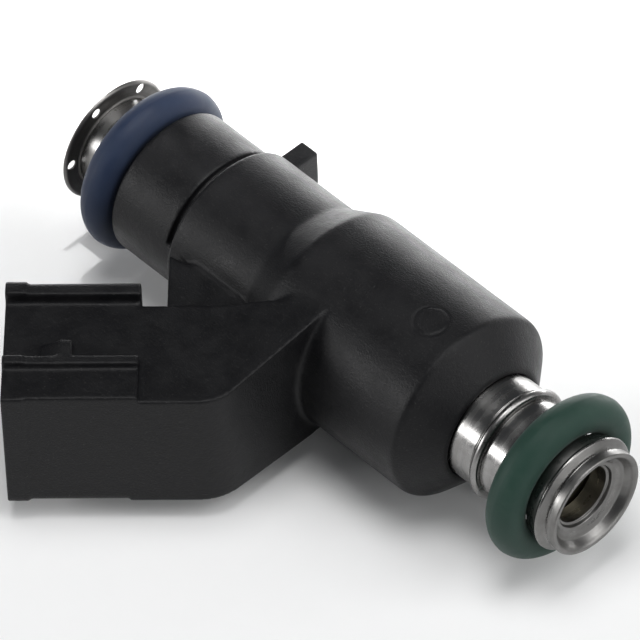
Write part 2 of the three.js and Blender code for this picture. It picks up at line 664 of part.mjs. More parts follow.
const needleBlank = sleeve(NEEDLE.start, NEEDLE.end, NEEDLE.radius, NEEDLE.boreRadius, SMALL_SEGMENTS);
const flowPort = new THREE.CylinderGeometry(
  NEEDLE.portRadius, NEEDLE.portRadius, 4 * NEEDLE.radius, DRILL_SEGMENTS);
addPart('needle_tube', cut(needleBlank, flowPort.translate(-NEEDLE.portStation, 0, 0)), turnedSteel());

const ball = new THREE.SphereGeometry(BALL.radius, BALL.segments, BALL.rings);
addPart('valve_ball', closed(ball.translate(-BALL.station, 0, 0)), turnedSteel());

// ---------------------------------------------------------------- nozzle

// The cone stands off the ball by the running clearance.
function seat() {
  const coneHalfAngle = THREE.MathUtils.degToRad(SEAT.coneHalfDegrees);
  const offset = (BALL.radius + RUNNING_CLEARANCE) / Math.sin(coneHalfAngle);
  const apex = BALL.station - offset;
  const orificeTop = apex + SEAT.orificeRadius / Math.tan(coneHalfAngle);
  const mouthRadius = BALL.radius + SEAT.mouthClearance;
  return turned([
    [SEAT.start, SEAT.orificeRadius],
    [SEAT.start, SEAT.radius],
    [SEAT.end, SEAT.radius],
    [SEAT.end, mouthRadius],
    [apex + mouthRadius / Math.tan(coneHalfAngle), mouthRadius],
    [orificeTop, SEAT.orificeRadius],
  ]);
}

addPart('valve_seat', seat(), turnedSteel());

const guideBlank = sleeve(GUIDE.start, GUIDE.end, GUIDE.radius, BALL.radius + RUNNING_CLEARANCE);
const guideHoles = drills(
  GUIDE.flowHoles, GUIDE.flowCircleRadius, GUIDE.flowHoleRadius, GUIDE.start - 1, GUIDE.end + 1,
  GUIDE.firstHoleDegrees);
addPart('ball_guide', cut(guideBlank, ...guideHoles), turnedSteel());

const plateBlank = disc(PLATE.start, PLATE.end, PLATE.radius);
const sprayHoles = drills(
  PLATE.holes, PLATE.holeCircleRadius, PLATE.holeRadius, PLATE.start - 1, PLATE.end + 1,
  PLATE.firstHoleDegrees);
addPart('spray_plate', cut(plateBlank, ...sprayHoles), turnedSteel());

// ---------------------------------------------------------------- inlet filter

const filterRimStart = FILTER.end - FILTER.rimLength;
addPart('filter_rim', sleeve(
  filterRimStart, FILTER.end, FILTER.rimRadius, FILTER.screenRadius - FILTER.wall), brownPlastic());

// The screen is a thimble, closed at the end nearest the valve, with window slots between its ribs.
function filterScreen() {
  const outer = FILTER.screenRadius;
  const inner = outer - FILTER.wall;
  const top = filterRimStart - GAP;
  const thimble = turned([
    [FILTER.start, 0],
    [FILTER.start, outer - FILTER.chamfer],
    [FILTER.start + FILTER.chamfer, outer],
    [top, outer],
    [top, inner],
    [FILTER.start + FILTER.floor, inner],
    [FILTER.start + FILTER.floor, 0],
  ], SMALL_SEGMENTS);
  const windowSpan = [-top + FILTER.windowMargin, -FILTER.start - FILTER.windowMargin];
  const windows = [];
  for (let i = 0; i < FILTER.ribs / 2; i += 1) {
    const window = block(
      windowSpan, [-2 * outer, 2 * outer], [-FILTER.windowWidth / 2, FILTER.windowWidth / 2]);
    windows.push(window.rotateX(Math.PI * i / (FILTER.ribs / 2)));
  }
  return cut(thimble, ...windows);
}

addPart('filter_basket', filterScreen(), whitePlastic());

export default injector;
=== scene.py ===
"""Looks for a port fuel injector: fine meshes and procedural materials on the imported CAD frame.

Outlines are in millimetres. A station is the distance from the spray tip's rim along the injector's
axis, so x = -station. Meshes are turned into metres when they become Blender objects.
"""
import json
import math

import bmesh
import bpy
import numpy as np
from mathutils import Matrix, Vector

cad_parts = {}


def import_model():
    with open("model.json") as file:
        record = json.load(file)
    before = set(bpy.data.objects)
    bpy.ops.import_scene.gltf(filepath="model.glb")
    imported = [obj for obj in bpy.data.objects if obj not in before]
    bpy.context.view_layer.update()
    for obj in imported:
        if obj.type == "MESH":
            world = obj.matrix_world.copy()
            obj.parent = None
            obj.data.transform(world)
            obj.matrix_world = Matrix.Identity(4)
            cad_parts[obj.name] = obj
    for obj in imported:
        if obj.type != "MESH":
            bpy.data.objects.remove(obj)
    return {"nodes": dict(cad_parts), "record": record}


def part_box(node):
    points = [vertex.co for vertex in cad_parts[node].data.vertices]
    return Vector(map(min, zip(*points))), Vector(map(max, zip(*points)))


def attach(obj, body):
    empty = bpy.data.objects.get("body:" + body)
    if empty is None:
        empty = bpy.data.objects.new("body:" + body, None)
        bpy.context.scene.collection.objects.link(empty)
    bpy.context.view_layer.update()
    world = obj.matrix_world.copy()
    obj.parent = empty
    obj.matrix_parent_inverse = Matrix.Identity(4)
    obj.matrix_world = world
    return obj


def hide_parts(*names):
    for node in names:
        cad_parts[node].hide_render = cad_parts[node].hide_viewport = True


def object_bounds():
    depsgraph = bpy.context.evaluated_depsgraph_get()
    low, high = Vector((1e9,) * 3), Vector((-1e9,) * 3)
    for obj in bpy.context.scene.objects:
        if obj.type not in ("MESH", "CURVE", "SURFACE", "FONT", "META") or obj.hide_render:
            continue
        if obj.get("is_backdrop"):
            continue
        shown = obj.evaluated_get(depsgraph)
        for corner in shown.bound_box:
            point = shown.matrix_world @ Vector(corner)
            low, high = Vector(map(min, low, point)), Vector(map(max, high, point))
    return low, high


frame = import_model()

MM = 0.001
CAD_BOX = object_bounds()
BODY = "injector_body"

# ---------------------------------------------------------------- sizes read from the frame


class Extent:
    """A turned CAD node's first and last station and its outer radius, in millimetres."""

    def __init__(self, node):
        low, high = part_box(node)
        self.start = -high.x / MM
        self.end = -low.x / MM
        self.radius = high.z / MM


MOUNTS = {mount["name"]: mount for mount in frame["record"]["mounts"]}
ALONG = Vector(MOUNTS["connector_mouth"]["axis"]).normalized()
ACROSS = Vector((-ALONG.y, ALONG.x, 0))
AXIS_STATION = 16.75
TO_CONNECTOR = Matrix((
    (ALONG.x, ACROSS.x, 0, -AXIS_STATION),
    (ALONG.y, ACROSS.y, 0, 0),
    (0, 0, 1, 0),
    (0, 0, 0, 1),
))
MOUTH = (Vector(MOUNTS["connector_mouth"]["pos_m"]) / MM - Vector((-AXIS_STATION, 0, 0))).dot(ALONG)

TUBE = Extent("inlet_tube")
FLANGE = Extent("inlet_flange_ring")
TIP = Extent("tip_retainer")
VALVE_BODY = Extent("valve_body_tube")
PLATE = Extent("spray_plate")
FILTER_RIM = Extent("filter_rim")

BARREL = {
    "end": 11.4, "end_radius": 5.0, "cone_end": 14.1, "radius": 8.2,
    "shoulder_start": 29.5, "shoulder_end": 32.4, "middle_radius": 6.9,
    "slot_start": 41.0, "slot_end": 41.75, "slot_floor": 5.9, "bridge_degrees": 36,
    "upper_radius": 6.35, "top": 48.0, "core": 3.0, "edge": 0.3,
}
LUG = {"start": 40.6, "end": 42.4, "outer": 9.35, "half_height": 1.75}
SHROUD = {
    "back": 23.4, "width": 11.9, "height": 12.6, "corner": 0.7, "wall": 1.3, "cavity": 9.0,
    "collar": 1.7, "collar_proud": 0.12, "channel": 1.0, "far_rail": 1.5, "near_rail": 4.1,
    "step_width": 0.9, "step_depth": 0.5,
}
LATCH = {
    "setback": 3.0, "length": 2.4, "width": 1.7, "height": 1.0,
    "toe": 0.2, "ramp": 1.44, "root": 0.5, "side_root": 0.05, "edge": 0.15,
}
NECK = {
    "far_edge": -4.15, "bottom": -6.2, "face": 24.6, "setback": 1.8, "inside": -4.5,
    "roof_at_body": 6.75, "along_at_body": 9.0, "roof_at_shroud": 5.3, "along_at_shroud": 16.8,
    "shelf_end": 21.55, "shelf_half_height": 2.8, "shelf_reach": -11.8, "shelf_root": 30.0, "reach": 10.0,
}
TIP_RING = {
    "rim": 4.62, "rim_width": 0.32, "rim_round": 0.06, "rim_round_end": 0.08,
    "mouth_width": 0.46, "mouth_depth": 0.12, "band_end": 0.75,
    "groove": 4.36, "groove_start": 0.83, "groove_end": 0.98,
    "bevel_end": 1.47, "bevel_drop": 0.05, "crest_start": 1.62, "crest_end": 1.8, "crest_drop": 0.1,
    "back_start": 1.86, "back": 4.7, "skirt_end": 2.88, "skirt_bore": 4.05, "web_end": 2.2,
    "spigot": 3.15, "bore": 2.55, "bore_start": 1.5, "step_start": 1.45, "step": 2.77,
    "land_start": 1.15, "land": 2.85, "ledge_start": 1.1, "ledge": 3.15, "cone_end": 0.75, "cone": 3.75,
}
VALVE_TUBE = {
    "bore": 3.45, "neck": 3.9, "neck_end": 5.75, "shoulder_end": 5.9, "lower": 4.35, "upper": 4.62,
    "bead_start": 8.3, "bead_end": 9.1, "bead_root": 0.1, "bead_angle": 0.35,
    "undercut": 0.08, "undercut_lead": 0.12, "undercut_floor": 0.08,
    "relief": 0.06, "relief_floor": 0.1, "relief_lead": 0.14,
}
INLET = {"bore": 3.2, "chamfer": 0.15}
FLANGE_RING = {
    "clearance": 0.01, "edge": 0.28, "sweep": 0.2, "collar": 0.05, "thickness": 0.14, "rim_width": 0.22,
    "holes": 6, "hole_circle": 4.75, "hole": 0.42, "first_hole_degrees": 52.5,
}
ORIFICES = {
    "count": 4, "circle": 0.9, "radius": 0.15, "dimple": 1.5, "depth": 0.12, "flat": 0.6, "crown": 0.9,
}
FILTER_RING = {"bore": 1.95, "front_chamfer": 0.3, "back_chamfer": 0.35, "back_drop": 0.2}
MARKS = {
    "ejector_station": 17.2, "ejector_y": -0.7, "ejector_radius": 1.4, "ejector_depth": 0.07,
    "line_width": 0.1, "seam_height": 0.012, "outside": 5.5,
}
JUNCTION = {"width": 0.6, "side": -1.5, "before": 1.5, "after": 0.5}

# Room round the pieces inside the moulding, and round the steel tube that comes out of it.
GAP = 0.3
BODY_GRIP = 0.04
# How far a cutting shape reaches past what it cuts.
PAST = 1

# The moulding's grid, and how many rounds its edges and the neck's junction are smoothed.
VOXEL = 0.125
SMOOTH_ROUNDS = 3
JUNCTION_ROUNDS = 24

# How finely round shapes are divided.
ARC_POINTS = 9
RING_SEGMENTS = 240
STEEL_SEGMENTS = 256
INLET_SEGMENTS = 224
FILTER_SEGMENTS = 128
INNER_SEGMENTS = 96
# The small rounding on the edges of the steel pieces.
METAL_EDGE = 0.05
METAL_EDGE_STEPS = 3

# Lays an outline square to the injector's axis: its x and y become Y and Z.
ALONG_X = Matrix(((0, 0, 1, 0), (1, 0, 0, 0), (0, 1, 0, 0), (0, 0, 0, 1)))
# The frame whose first two axes are across the connector and up, with its third along it.
SECTION = TO_CONNECTOR @ ALONG_X
# The frame whose first two axes are along the connector and up, with its third across it.
UPRIGHT = TO_CONNECTOR @ Matrix(((1, 0, 0, 0), (0, 0, -1, 0), (0, 1, 0, 0), (0, 0, 0, 1)))

# ---------------------------------------------------------------- mesh helpers


def mesh_object(name, verts, faces):
    """A new mesh object with outward faces, from points in millimetres."""
    mesh = bpy.data.meshes.new(name)
    mesh.from_pydata([tuple(v) for v in verts], [], faces)
    work = bmesh.new()
    work.from_mesh(mesh)
    bmesh.ops.remove_doubles(work, verts=work.verts, dist=1e-5)
    bmesh.ops.dissolve_degenerate(work, edges=work.edges, dist=1e-5)
    bmesh.ops.recalc_face_normals(work, faces=work.faces)
    work.to_mesh(mesh)
    work.free()
    made = bpy.data.objects.new(name, mesh)
    bpy.context.scene.collection.objects.link(made)
    return made


def bend(first, corner, last, t):
    """The point at t, from 0 to 1, on the curve from first to last that corner pulls outwards."""
    return first * (1 - t) ** 2 + corner * 2 * t * (1 - t) + last * t ** 2


def softened(outline, size, steps=4):
    """A closed outline with each corner turned into a curve that starts up to size away from it."""
    side_share, lead = 0.42, 0.08
    points = [Vector(p) for p in outline]
    soft = []
    for i, corner in enumerate(points):
        before = points[i - 1] - corner
        after = points[(i + 1) % len(points)] - corner
        reach = min(size, side_share * before.length, side_share * after.length)
        first = corner + before.normalized() * reach
        last = corner + after.normalized() * reach
        soft.append(first + (first - corner) * lead)
        soft += [bend(first, corner, last, k / steps) for k in range(steps + 1)]
        soft.append(last + (last - corner) * lead)
    return [(p.x, p.y) for p in soft]


def turned(name, outline, segments=192):
    """A closed outline of (station, radius) pairs, turned about the injector's axis."""
    count = len(outline)
    angles = np.linspace(0, 2 * math.pi, segments, endpoint=False)
    verts = [(-s, r * math.cos(a), r * math.sin(a)) for a in angles for s, r in outline]
    faces = []
    for i in range(segments):
        row, after = i * count, (i + 1) % segments * count
        for k in range(count):
            step = (k + 1) % count
            faces.append((row + k, row + step, after + step, after + k))
    return mesh_object(name, verts, faces)


def prism(name, outline, low, high, matrix=Matrix.Identity(4)):
    """A flat outline in the matrix's first two axes, extruded along its third from low to high."""
    count = len(outline)
    verts = [matrix @ Vector((x, y, z)) for z in (low, high) for x, y in outline]
    faces = [tuple(range(count)), tuple(range(count, 2 * count))]
    faces += [(i, (i + 1) % count, (i + 1) % count + count, i + count) for i in range(count)]
    return mesh_object(name, verts, faces)


def block(name, low, high, matrix=Matrix.Identity(4)):
    outline = [(low[0], low[1]), (high[0], low[1]), (high[0], high[1]), (low[0], high[1])]
    return prism(name, outline, low[2], high[2], matrix)


def circle(centre, radius, steps=32):
    angles = [2 * math.pi * i / steps for i in range(steps)]
    return [(centre[0] + radius * math.cos(a), centre[1] + radius * math.sin(a)) for a in angles]


def rounded_rectangle(low, high, corner, steps=5):
    """Corners at low and high, listed anticlockwise."""
    centres = [
        ((high[0] - corner, high[1] - corner), 0), ((low[0] + corner, high[1] - corner), 90),
        ((low[0] + corner, low[1] + corner), 180), ((high[0] - corner, low[1] + corner), 270),
    ]
    points = []
    for centre, start in centres:
        for k in range(steps + 1):
            a = math.radians(start + 90 * k / steps)
            points.append((centre[0] + corner * math.cos(a), centre[1] + corner * math.sin(a)))
    return points


def combine(target, tool, operation):
    modifier = target.modifiers.new("combine", "BOOLEAN")
    modifier.operation = operation
    modifier.solver = "MANIFOLD"
    modifier.object = tool
    apply_modifiers(target)
    bpy.data.objects.remove(tool)
    return target


def apply_modifiers(target):
    graph = bpy.context.evaluated_depsgraph_get()
    target.data = bpy.data.meshes.new_from_object(target.evaluated_get(graph))
    target.modifiers.clear()


def add(target, *tools):
    for tool in tools:
        combine(target, tool, "UNION")
    return target


def cut(target, *tools):
    for tool in tools:
        combine(target, tool, "DIFFERENCE")
    return target


def coordinates(target):
    points = np.empty(len(target.data.vertices) * 3)
    target.data.vertices.foreach_get("co", points)
    return points.reshape(-1, 3)


def set_coordinates(target, points):
    target.data.vertices.foreach_set("co", points.ravel())
    target.data.update()


def relaxed(target, rounds, weight_of=None):
    """Moves each vertex part of the way to the middle of its neighbours, by its weight, each round."""
    points = coordinates(target)
    edges = np.empty(len(target.data.edges) * 2, int)
    target.data.edges.foreach_get("vertices", edges)
    first, second = edges.reshape(-1, 2).T
    valence = np.bincount(edges, minlength=len(points))[:, None]
    weight = 0.5 if weight_of is None else 0.5 * weight_of(points)[:, None]
    for _ in range(rounds):
        total = np.stack([
            np.bincount(first, points[second, axis], len(points))
            + np.bincount(second, points[first, axis], len(points)) for axis in range(3)], axis=1)
        points = points + weight * (total / valence - points)
    set_coordinates(target, points)


def finished(piece, body, node, material, angle=None):
    """Puts a piece made in millimetres in place of a CAD node."""
    piece.data.transform(Matrix.Scale(MM, 4))
    piece.data.materials.clear()
    piece.data.materials.append(material)
    piece.data.polygons.foreach_set("use_smooth", [True] * len(piece.data.polygons))
    if angle is not None:
        piece.data.set_sharp_from_angle(angle=math.radians(angle))
    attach(piece, body)
    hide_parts(node)
    return piece


# ---------------------------------------------------------------- material helpers


class Nodes:
    """Short ways to build one material's node tree around its Principled shader."""

    def __init__(self, name, color, roughness, metallic=0.0, specular=0.5):
        self.material = bpy.data.materials.new(name)
        self.material.use_nodes = True
        self.tree = self.material.node_tree
        self.shader = self.tree.nodes["Principled BSDF"]
        self.shader.inputs["Base Color"].default_value = (*color, 1)
        self.shader.inputs["Roughness"].default_value = roughness
        self.shader.inputs["Metallic"].default_value = metallic
        self.shader.inputs["Specular IOR Level"].default_value = specular
        self.position = self.new("ShaderNodeTexCoord").outputs["Object"]
        self.normal = None

    def new(self, kind, **settings):
        node = self.tree.nodes.new(kind)
        for key, value in settings.items():
            setattr(node, key, value)
        return node

    def link(self, output, target):
        self.tree.links.new(output, target)

    def math(self, operation, *values):
        node = self.new("ShaderNodeMath", operation=operation)
        for slot, value in zip(node.inputs, values):
            if isinstance(value, (int, float)):
                slot.default_value = value
            else:
                self.link(value, slot)
        return node.outputs[0]

    def stretched(self, x, y, z, turn=(0, 0, 0)):
        """The position scaled by so many features to the millimetre along each axis."""
        mapping = self.new("ShaderNodeMapping")
        mapping.inputs["Scale"].default_value = (x / MM, y / MM, z / MM)
        mapping.inputs["Rotation"].default_value = turn
        self.link(self.position, mapping.inputs["Vector"])
        return mapping.outputs[0]

    def noise(self, vector, detail=3.0, roughness=0.55, distortion=0.0):
        node = self.new("ShaderNodeTexNoise")
        node.inputs["Scale"].default_value = 1.0
        node.inputs["Detail"].default_value = detail
        node.inputs["Roughness"].default_value = roughness
        node.inputs["Distortion"].default_value = distortion
        self.link(vector, node.inputs["Vector"])
        return node.outputs["Fac"]

    def ramp(self, value, low, high, low_out=0.0, high_out=1.0):
        node = self.new("ShaderNodeMapRange", interpolation_type="SMOOTHSTEP")
        for slot, number in zip(node.inputs[1:5], (low, high, low_out, high_out)):
            slot.default_value = number
        self.link(value, node.inputs["Value"])
        return node.outputs[0]

    def blend_colors(self, factor, first, second):
        """Mixes two colours, each a tuple or an output."""
        node = self.new("ShaderNodeMix", data_type="RGBA")
        self.link(factor, node.inputs["Factor"])
        for slot, value in ((node.inputs[6], first), (node.inputs[7], second)):
            if isinstance(value, tuple):
                slot.default_value = (*value, 1)
            else:
                self.link(value, slot)
        return node.outputs[2]

    def color(self, output):
        self.link(output, self.shader.inputs["Base Color"])

    def roughness(self, output):
        self.link(output, self.shader.inputs["Roughness"])

    def bump(self, height, depth, strength=1.0):
        """Adds one layer of relief, depth millimetres from its lowest to its highest."""
        node = self.new("ShaderNodeBump")
        node.inputs["Strength"].default_value = strength
        node.inputs["Distance"].default_value = depth * MM
        self.link(height, node.inputs["Height"])
        if self.normal is not None:
            self.link(self.normal, node.inputs["Normal"])
        self.normal = node.outputs["Normal"]
        self.link(self.normal, self.shader.inputs["Normal"])

    def radius(self):
        """The distance from the injector's axis, in metres."""
        parts = self.new("ShaderNodeSeparateXYZ")
        self.link(self.position, parts.inputs[0])
        squares = [self.math("MULTIPLY", parts.outputs[i], parts.outputs[i]) for i in (1, 2)]
        return self.math("SQRT", self.math("ADD", *squares))

    def turning_lines(self, per_mm, detail):
        """Noise that changes along the axis and outwards but not round it, as lathe marks do."""
        parts = self.new("ShaderNodeSeparateXYZ")
        self.link(self.position, parts.inputs[0])
        vector = self.new("ShaderNodeCombineXYZ")
        self.link(self.math("MULTIPLY", parts.outputs[0], per_mm / MM), vector.inputs[0])
        self.link(self.math("MULTIPLY", self.radius(), per_mm / MM), vector.inputs[1])
        return self.noise(vector.outputs[0], detail)


def glass_filled_plastic():
    n = Nodes("glass_filled_plastic", (0.01, 0.01, 0.011), 0.4, specular=0.18)
    grain = n.noise(n.stretched(6.5, 6.5, 6.5), 4, 0.62)
    speckle = n.noise(n.stretched(7.0, 7.0, 7.0), 2, 0.5)
    fibres = n.noise(n.stretched(1.6, 8.0, 8.0, (0.3, 0.2, 0.6)), 3, 0.6, 0.5)
    ripples = n.noise(n.stretched(1.3, 1.3, 1.3), 3, 0.55)
    patches = n.noise(n.stretched(0.45, 0.45, 0.45), 5, 0.65)
    wear = n.ramp(n.new("ShaderNodeNewGeometry").outputs["Pointiness"], 0.54, 0.64)
    tone = n.blend_colors(n.ramp(patches, 0.35, 0.68), (0.005, 0.005, 0.0058), (0.0078, 0.0078, 0.0086))
    tone = n.blend_colors(n.ramp(fibres, 0.56, 0.74, 0.0, 0.5), tone, (0.022, 0.022, 0.022))
    tone = n.blend_colors(n.ramp(speckle, 0.66, 0.74, 0.0, 0.6), tone, (0.045, 0.044, 0.042))
    n.color(n.blend_colors(n.math("MULTIPLY", wear, 0.12), tone, (0.035, 0.035, 0.035)))
    rough = n.ramp(patches, 0.3, 0.7, 0.3, 0.42)
    n.roughness(n.math("ADD", rough, n.math("MULTIPLY", grain, 0.1)))
    n.bump(ripples, 0.06, 0.4)
    n.bump(grain, 0.044, 0.8)
    n.bump(fibres, 0.02, 0.7)
    return n.material


def turned_metal(name, color, dark, roughness, line_depth=0.004, stain=0.35):
    """Machined metal with fine rings, broader tool bands and a little staining."""
    n = Nodes(name, color, roughness, metallic=1.0)
    fine = n.turning_lines(14.0, 3)
    bands = n.turning_lines(1.6, 2)
    smears = n.noise(n.stretched(0.5, 0.9, 0.9), 4, 0.6, 0.6)
    tone = n.blend_colors(n.ramp(smears, 0.35, 0.75, 0.0, stain), color, dark)
    n.color(n.blend_colors(n.ramp(bands, 0.35, 0.65, 0.0, 0.3), tone, dark))
    rough = n.math("ADD", n.ramp(bands, 0.3, 0.7, roughness * 0.75, roughness * 1.25),
                   n.ramp(smears, 0.4, 0.7, 0.0, 0.08))
    n.roughness(rough)
    n.bump(fine, line_depth, 0.7)
    n.bump(bands, line_depth * 1.5, 0.4)
    return n.material


def rubber(name, color, bloom):
    """Moulded elastomer with a faint dusty bloom and very fine skin texture."""
    n = Nodes(name, color, 0.5, specular=0.2)
    skin = n.noise(n.stretched(6.0, 6.0, 6.0), 4, 0.6)
    dust = n.noise(n.stretched(0.7, 0.7, 0.7), 5, 0.65)
    n.color(n.blend_colors(n.ramp(dust, 0.35, 0.8, 0.0, 0.5), color, bloom))
    n.roughness(n.ramp(dust, 0.3, 0.7, 0.5, 0.66))
    n.shader.inputs["Sheen Weight"].default_value = 0.06
    n.shader.inputs["Sheen Roughness"].default_value = 0.5
    n.bump(dust, 0.02, 0.4)
    n.bump(skin, 0.008, 0.6)
    return n.material


def moulded_nylon(name, color, shade, roughness):
    n = Nodes(name, color, roughness)
    mottle = n.noise(n.stretched(0.9, 0.9, 0.9), 5, 0.6)
    grain = n.noise(n.stretched(8.0, 8.0, 8.0), 3, 0.5)
    n.color(n.blend_colors(n.ramp(mottle, 0.3, 0.7), color, shade))
    n.roughness(n.ramp(mottle, 0.3, 0.7, roughness - 0.08, roughness + 0.08))
    n.bump(grain, 0.008, 0.6)
    return n.material


def filter_mesh():
    """A woven screen: two crossed sets of fine round threads."""
    n = Nodes("filter_mesh", (0.62, 0.6, 0.52), 0.5)
    mottle = n.noise(n.stretched(0.9, 0.9, 0.9), 5, 0.6)
    n.color(n.blend_colors(n.ramp(mottle, 0.3, 0.7), (0.62, 0.6, 0.52), (0.5, 0.47, 0.39)))
    n.roughness(n.ramp(mottle, 0.3, 0.7, 0.42, 0.58))
    for direction in ("X", "Y"):
        threads = n.new("ShaderNodeTexWave", bands_direction=direction)
        threads.inputs["Scale"].default_value = 1 / (0.45 * MM)
        n.link(n.position, threads.inputs["Vector"])
        n.bump(threads.outputs["Fac"], 0.05)
    return n.material


def wound_copper():
    """Enamelled magnet wire laid side by side round the bobbin."""
    n = Nodes("wound_copper", (0.55, 0.2, 0.07), 0.3, metallic=1.0)
    wave = n.new("ShaderNodeTexWave", bands_direction="X")
    wave.inputs["Scale"].default_value = 0.314 / (0.28 * MM)
    wave.inputs["Distortion"].default_value = 0.15
    n.link(n.position, wave.inputs["Vector"])
    turns = n.noise(n.stretched(3.5, 0.4, 0.4), 2)
    n.color(n.blend_colors(n.ramp(turns, 0.35, 0.65), (0.58, 0.21, 0.07), (0.36, 0.1, 0.035)))
    n.roughness(n.ramp(turns, 0.3, 0.7, 0.22, 0.38))
    n.bump(wave.outputs["Fac"], 0.1)
    n.bump(n.noise(n.stretched(6, 6, 6), 3), 0.004, 0.5)
    return n.material


def tinned():
    n = Nodes("tinned_terminal", (0.63, 0.6, 0.54), 0.28, metallic=1.0)
    flow = n.noise(n.stretched(1.2, 1.2, 1.2), 5, 0.6, 0.5)
    n.color(n.blend_colors(n.ramp(flow, 0.35, 0.75), (0.66, 0.64, 0.59), (0.5, 0.44, 0.33)))
    n.roughness(n.ramp(flow, 0.3, 0.7, 0.2, 0.42))
    n.bump(n.noise(n.stretched(1.0, 12.0, 12.0), 2), 0.004, 0.7)
    return n.material


def studio_floor():
    n = Nodes("pale_floor", (0.86, 0.86, 0.86), 0.7, specular=0.15)
    paper = n.noise(n.stretched(0.4, 0.4, 0.4), 4)
    n.color(n.blend_colors(paper, (0.85, 0.85, 0.85), (0.87, 0.87, 0.87)))
    return n.material


PLASTIC = glass_filled_plastic()
STEEL = turned_metal("turned_steel", (0.31, 0.305, 0.3), (0.17, 0.165, 0.16), 0.23)
TIP_STEEL = turned_metal("tip_steel", (0.2, 0.197, 0.192), (0.12, 0.117, 0.112), 0.33, 0.005)
FLANGE_STEEL = turned_metal("flange_steel", (0.15, 0.145, 0.14), (0.1, 0.097, 0.093), 0.48, 0.004)
INNER_STEEL = turned_metal("magnetic_steel", (0.4, 0.39, 0.38), (0.22, 0.21, 0.2), 0.36, 0.006)
BORE_STEEL = turned_metal("valve_seat_steel", (0.46, 0.42, 0.31), (0.2, 0.18, 0.12), 0.32)
BLUE = rubber("blue_rubber", (0.011, 0.019, 0.043), (0.02, 0.031, 0.06))
GREEN = rubber("green_rubber", (0.013, 0.038, 0.028), (0.03, 0.058, 0.046))
BROWN_NYLON = moulded_nylon("brown_nylon", (0.1, 0.07, 0.045), (0.07, 0.05, 0.032), 0.5)
SCREEN = filter_mesh()
COPPER = wound_copper()
TINNED = tinned()

# ---------------------------------------------------------------- moulded body


def barrel():
    b = BARREL
    outer = softened([
        (b["end"], b["core"]), (b["end"], b["end_radius"]), (b["cone_end"], b["radius"]),
        (b["shoulder_start"], b["radius"]), (b["shoulder_end"], b["middle_radius"]),
        (b["slot_start"], b["middle_radius"]), (b["slot_start"], b["upper_radius"]),
        (b["top"], b["upper_radius"]), (b["top"], b["core"]),
    ], b["edge"])
    body = turned("overmoulded_body_skin", outer)
    ring = turned("slot", [
        (b["slot_start"], b["slot_floor"]), (b["slot_start"], b["radius"]),
        (b["slot_end"], b["radius"]), (b["slot_end"], b["slot_floor"])])
    reach = 2 * b["radius"]
    side = reach * math.tan(math.radians(b["bridge_degrees"] / 2))
    wedge = prism("bridge", [(0, 0), (-reach, -side), (-reach, side)],
                  -b["slot_end"] - PAST, -b["slot_start"] + PAST, ALONG_X)
    return cut(body, cut(ring, wedge))


def lug():
    half = LUG["half_height"]
    low = (-LUG["end"], BARREL["slot_floor"] - PAST, -half)
    high = (-LUG["start"], LUG["outer"], half)
    return block("lug", low, high)


def connector_xy(along, across):
    point = TO_CONNECTOR @ Vector((along, across, 0))
    return point.x, point.y


def neck():
    half = SHROUD["width"] / 2
    turn = math.atan2(-ALONG.y, -ALONG.x)
    face_x = -NECK["face"]
    overlap = SHROUD["back"] + PAST
    corner_along = (NECK["face"] - AXIS_STATION + half * math.sin(turn)) / math.cos(turn)
    corner = Vector(connector_xy(corner_along, half))
    first = Vector((face_x, corner.y + NECK["setback"]))
    last = Vector(connector_xy(corner_along + NECK["setback"], half))
    curve = [bend(first, corner, last, t) for t in np.linspace(0, 1, ARC_POINTS)]
    plateau = [
        (face_x, NECK["inside"]), *[tuple(p) for p in curve], connector_xy(overlap, half),
        connector_xy(overlap, NECK["far_edge"]), connector_xy(NECK["reach"], NECK["far_edge"]),
    ]
    slab = prism("neck", plateau, NECK["bottom"], NECK["roof_at_body"] + PAST)
    fall = NECK["roof_at_body"] - NECK["roof_at_shroud"]
    slope = fall / (NECK["along_at_shroud"] - NECK["along_at_body"])
    above = [
        (0, NECK["roof_at_body"] + slope * NECK["along_at_body"]),
        (NECK["along_at_shroud"], NECK["roof_at_shroud"]), (MOUTH, NECK["roof_at_shroud"]),
        (MOUTH, 2 * NECK["roof_at_body"]), (0, 2 * NECK["roof_at_body"]),
    ]
    slab = cut(slab, prism("roof", above, -NECK["reach"], NECK["reach"], UPRIGHT))
    shelf = prism("shelf", [
        connector_xy(NECK["shelf_end"], 0), connector_xy(NECK["shelf_end"], NECK["shelf_reach"]),
        (-NECK["shelf_root"], NECK["inside"]), connector_xy(NECK["reach"], 0),
    ], -NECK["shelf_half_height"], NECK["shelf_half_height"])
    return add(slab, shelf)


def shroud():
    half, top, corner = SHROUD["width"] / 2, SHROUD["height"] / 2, SHROUD["corner"]
    wide, tall = half + SHROUD["collar_proud"], top + SHROUD["collar_proud"]
    back, rail = SHROUD["back"], half - SHROUD["near_rail"]
    body = prism("shroud", rounded_rectangle((-half, -top), (half, top), corner), back, MOUTH, SECTION)
    collar = prism("collar", rounded_rectangle((-wide, -tall), (wide, tall), corner),
                   MOUTH - SHROUD["collar"], MOUTH, SECTION)
    channel = block("channel", (-half + SHROUD["far_rail"], top - SHROUD["channel"], back - PAST),
                    (rail, top + PAST, MOUTH + PAST), SECTION)
    step = block("step", (rail + SHROUD["step_width"], top - SHROUD["step_depth"], back - PAST),
                 (half + PAST, top + PAST, MOUTH + PAST), SECTION)
    return cut(add(body, collar), channel, step)


